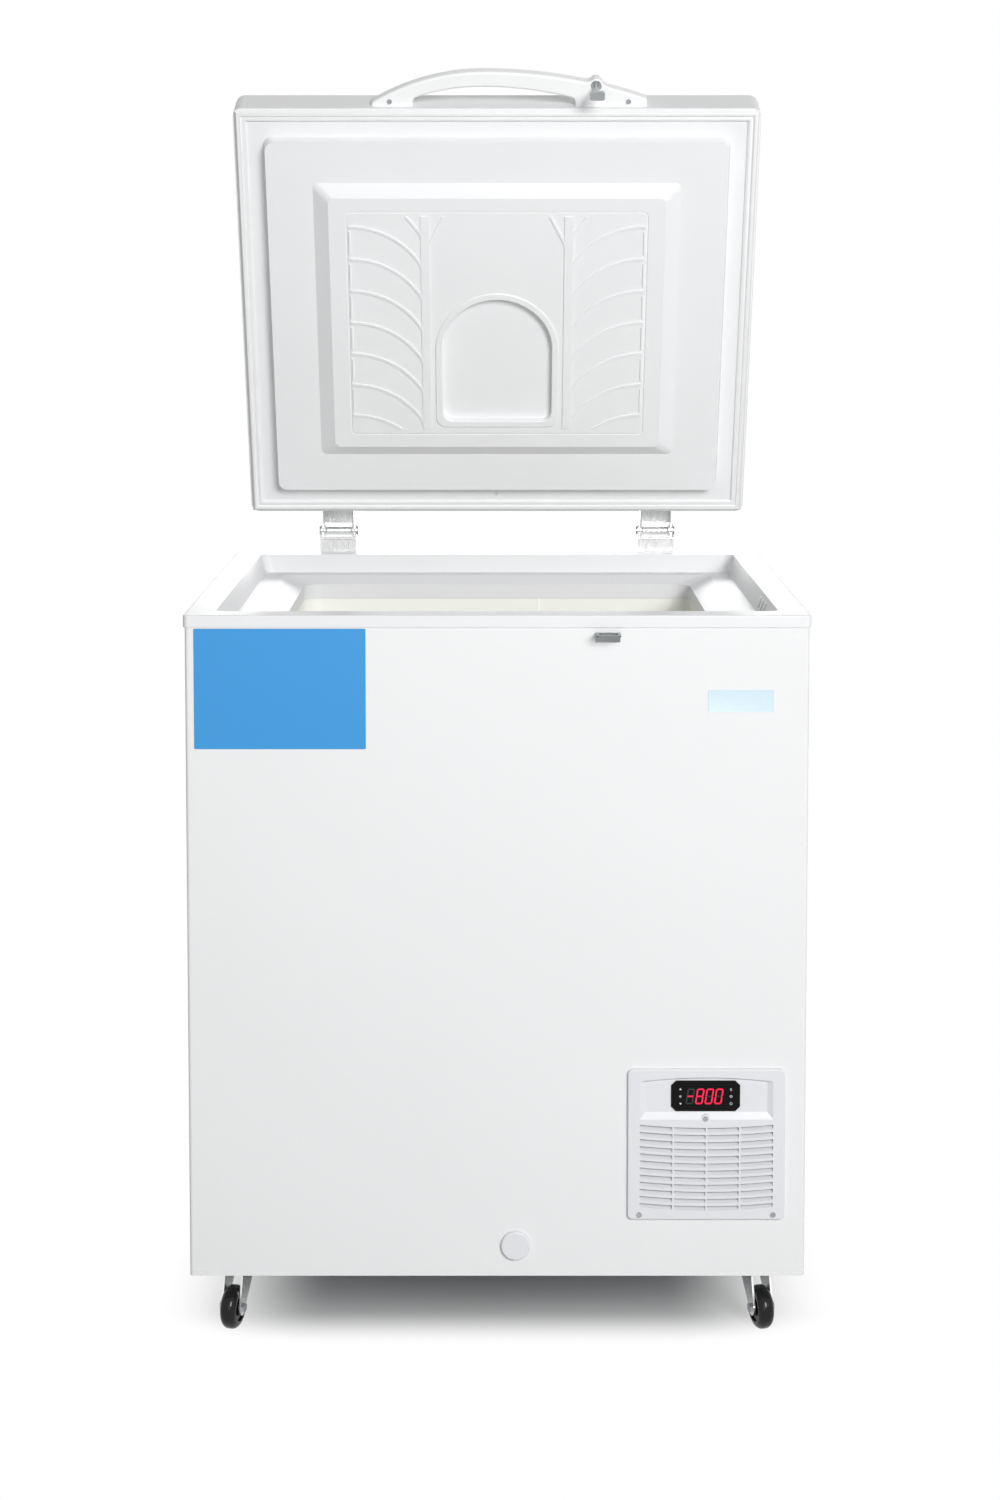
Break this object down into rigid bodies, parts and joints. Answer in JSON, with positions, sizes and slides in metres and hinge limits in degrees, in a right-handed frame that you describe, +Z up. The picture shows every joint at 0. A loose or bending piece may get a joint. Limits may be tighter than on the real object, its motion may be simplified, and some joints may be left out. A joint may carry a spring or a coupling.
{
  "type": "chest ultra low temperature freezer",
  "caption": "Compact chest freezer for ultra low temperatures, lid standing open on its hinges, with a vented control panel, a keyed lid lock and swivel casters.",
  "frame": {"origin": "on the floor, at the middle of the part's footprint with the lid open", "axes": "+X to the cabinet's right as seen from the front, -Y towards the front, +Z up"},
  "size_m": [0.72, 0.6828, 1.5018],
  "materials": {
    "white_enamel": "smooth semi-gloss white enamel",
    "cream_moulding": "moulded, slightly warm white",
    "liner_sheet": "cream coated sheet",
    "insulation_foam": "poured rigid foam",
    "galvanised_sheet": "galvanised",
    "white_plastic": "moulded white",
    "handle_plastic": "moulded white",
    "black_plastic": "smooth black",
    "display_glass": "dark window",
    "key_plastic": "grey keys",
    "zinc_steel": "zinc plated",
    "screw_steel": "plated",
    "lock_chrome": "dark chrome",
    "gasket_rubber": "pale soft vinyl",
    "mount_rubber": "black",
    "drain_hose": "white pipe",
    "compressor_black": "black paint",
    "motor_steel": "die cast",
    "condenser_metal": "finned",
    "copper": "copper pipe",
    "caster_black": "glossy black nylon"
  },
  "bodies": {
    "root": {"cabinet_shell": "white_enamel", "inner_liner": "liner_sheet", "cabinet_foam": "insulation_foam", "rim_collar": "cream_moulding", "base_pan": "galvanised_sheet", "compartment_bulkhead": "galvanised_sheet", "front_vent_panel": "white_plastic", "controller_housing": "black_plastic", "display_window": "display_glass", "panel_screws": "screw_steel", "drain_tube": "drain_hose", "lock_keeper": "lock_chrome", "compressor": "compressor_black", "compressor_mounts": "mount_rubber", "condenser": "condenser_metal", "fan_bracket": "galvanised_sheet", "fan_motor": "motor_steel", "filter_drier": "copper", "refrigerant_pipes": "copper", "electrical_box": "black_plastic", "rear_grille": "galvanised_sheet", "grille_screws": "screw_steel", "cable_gland": "black_plastic", "hinge_base_left": "zinc_steel", "hinge_base_right": "zinc_steel", "hinge_pins": "screw_steel", "hinge_springs": "screw_steel", "hinge_screws": "screw_steel", "caster_plates": "zinc_steel"},
    "lid": {"lid_outer_pan": "white_enamel", "lid_foam": "insulation_foam", "lid_liner": "cream_moulding", "lid_gasket": "gasket_rubber", "lid_handle": "handle_plastic", "handle_screws": "screw_steel", "hinge_arm_left": "zinc_steel", "hinge_arm_right": "zinc_steel", "hinge_arm_screws": "screw_steel"},
    "lock": {"lock_barrel": "lock_chrome", "lock_cam": "lock_chrome"},
    "drain_plug": {"drain_cap": "white_plastic"},
    "fan": {"fan_blade": "black_plastic"},
    "key_left_top": {"key_left_top": "key_plastic"},
    "key_left_middle": {"key_left_middle": "key_plastic"},
    "key_left_bottom": {"key_left_bottom": "key_plastic"},
    "key_right_top": {"key_right_top": "key_plastic"},
    "key_right_middle": {"key_right_middle": "key_plastic"},
    "key_right_bottom": {"key_right_bottom": "key_plastic"},
    "caster_1": {"caster_fork_1": "zinc_steel", "caster_axle_1": "screw_steel"},
    "wheel_1": {"caster_wheel_1": "caster_black"},
    "caster_2": {"caster_fork_2": "zinc_steel", "caster_axle_2": "screw_steel"},
    "wheel_2": {"caster_wheel_2": "caster_black"},
    "caster_3": {"caster_fork_3": "zinc_steel", "caster_axle_3": "screw_steel"},
    "wheel_3": {"caster_wheel_3": "caster_black"},
    "caster_4": {"caster_fork_4": "zinc_steel", "caster_axle_4": "screw_steel"},
    "wheel_4": {"caster_wheel_4": "caster_black"}
  },
  "joints": [
    {"name": "lid_hinge", "type": "hinge", "parent": "root", "child": "lid", "pos_m": [0, 0.32386, 0.878], "axis": [-1, 0, 0], "range_deg": [-68, 17]},
    {"name": "lock_turn", "type": "hinge", "parent": "lid", "child": "lock", "pos_m": [0.127, 0.06496, 1.47822], "axis": [0, 0.9272, 0.3746], "range_deg": [0, 90]},
    {"name": "drain_cap_pull", "type": "slide", "parent": "root", "child": "drain_plug", "axis": [0, -1, 0], "range_m": [0, 0.03]},
    {"name": "fan_spin", "type": "hinge", "parent": "root", "child": "fan", "pos_m": [0.245, -0.24414, 0.172], "axis": [0, 1, 0], "continuous": true},
    {"name": "key_left_top_press", "type": "slide", "parent": "root", "child": "key_left_top", "axis": [0, 1, 0], "range_m": [0, 0.0006], "stiffness_N_per_m": 800, "springref_m": -0.0005},
    {"name": "key_left_middle_press", "type": "slide", "parent": "root", "child": "key_left_middle", "axis": [0, 1, 0], "range_m": [0, 0.0006], "stiffness_N_per_m": 800, "springref_m": -0.0005},
    {"name": "key_left_bottom_press", "type": "slide", "parent": "root", "child": "key_left_bottom", "axis": [0, 1, 0], "range_m": [0, 0.0006], "stiffness_N_per_m": 800, "springref_m": -0.0005},
    {"name": "key_right_top_press", "type": "slide", "parent": "root", "child": "key_right_top", "axis": [0, 1, 0], "range_m": [0, 0.0006], "stiffness_N_per_m": 800, "springref_m": -0.0005},
    {"name": "key_right_middle_press", "type": "slide", "parent": "root", "child": "key_right_middle", "axis": [0, 1, 0], "range_m": [0, 0.0006], "stiffness_N_per_m": 800, "springref_m": -0.0005},
    {"name": "key_right_bottom_press", "type": "slide", "parent": "root", "child": "key_right_bottom", "axis": [0, 1, 0], "range_m": [0, 0.0006], "stiffness_N_per_m": 800, "springref_m": -0.0005},
    {"name": "caster_swivel_1", "type": "hinge", "parent": "root", "child": "caster_1", "pos_m": [-0.306, -0.26614, 0.0667], "axis": [0, 0, 1], "continuous": true},
    {"name": "wheel_spin_1", "type": "hinge", "parent": "caster_1", "child": "wheel_1", "pos_m": [-0.31118, -0.28546, 0.025], "axis": [0.9659, -0.2588, 0], "continuous": true},
    {"name": "caster_swivel_2", "type": "hinge", "parent": "root", "child": "caster_2", "pos_m": [0.306, -0.26614, 0.0667], "axis": [0, 0, 1], "continuous": true},
    {"name": "wheel_spin_2", "type": "hinge", "parent": "caster_2", "child": "wheel_2", "pos_m": [0.31118, -0.28546, 0.025], "axis": [0.9659, 0.2588, 0], "continuous": true},
    {"name": "caster_swivel_3", "type": "hinge", "parent": "root", "child": "caster_3", "pos_m": [-0.306, 0.24986, 0.0667], "axis": [0, 0, 1], "continuous": true},
    {"name": "wheel_spin_3", "type": "hinge", "parent": "caster_3", "child": "wheel_3", "pos_m": [-0.31118, 0.26918, 0.025], "axis": [-0.9659, -0.2588, 0], "continuous": true},
    {"name": "caster_swivel_4", "type": "hinge", "parent": "root", "child": "caster_4", "pos_m": [0.306, 0.24986, 0.0667], "axis": [0, 0, 1], "continuous": true},
    {"name": "wheel_spin_4", "type": "hinge", "parent": "caster_4", "child": "wheel_4", "pos_m": [0.31118, 0.26918, 0.025], "axis": [-0.9659, 0.2588, 0], "continuous": true}
  ]
}
